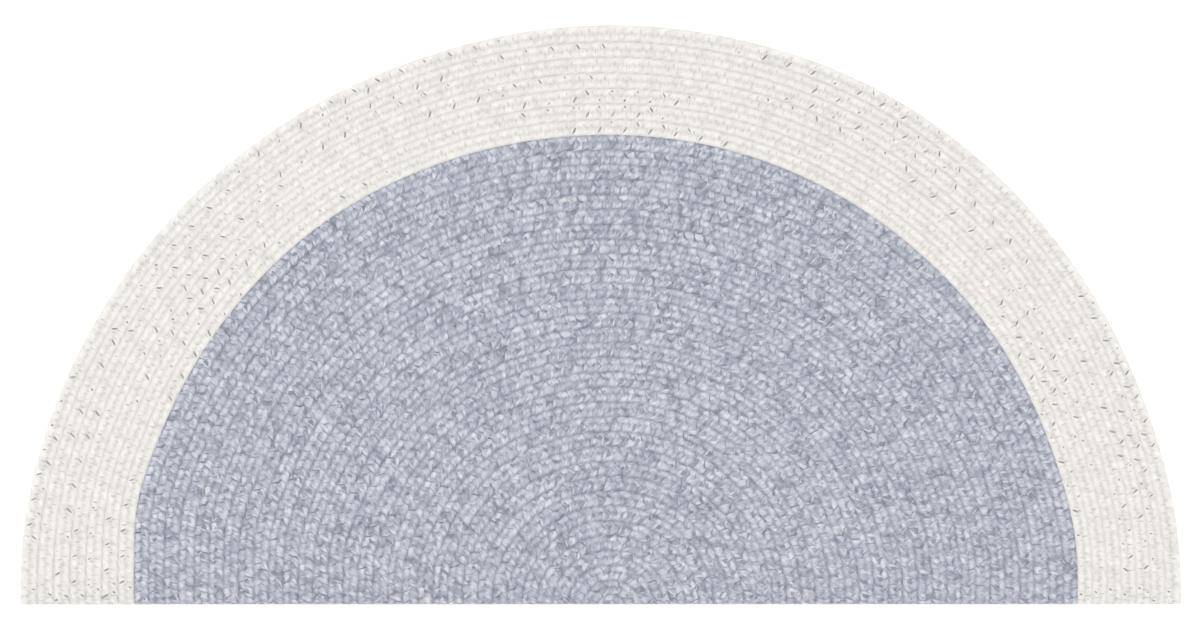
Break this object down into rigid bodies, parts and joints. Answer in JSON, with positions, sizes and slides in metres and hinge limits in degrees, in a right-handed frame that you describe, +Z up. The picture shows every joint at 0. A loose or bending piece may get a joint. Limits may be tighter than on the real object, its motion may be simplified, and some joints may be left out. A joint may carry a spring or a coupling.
{
  "type": "half-round braided rug",
  "caption": "Flat half-round rug coiled from flat herringbone braid: a heathered blue-grey field, a cream border with dark flecks, a straight cut edge.",
  "frame": {"origin": "the middle of the rug's bounding box at floor level, on its underside", "axes": "+X runs along the straight edge to the right as seen in the picture, +Y runs from the straight edge to the top of the arc, +Z is up from the floor"},
  "size_m": [1.2002, 0.5984, 0.007],
  "materials": {
    "field_braid": "heathered blue-grey braided yarn, matt",
    "border_braid": "cream braided yarn with dark grey flecks, matt"
  },
  "bodies": {
    "root": {"field_braid": "field_braid", "border_braid": "border_braid"}
  },
  "joints": []
}
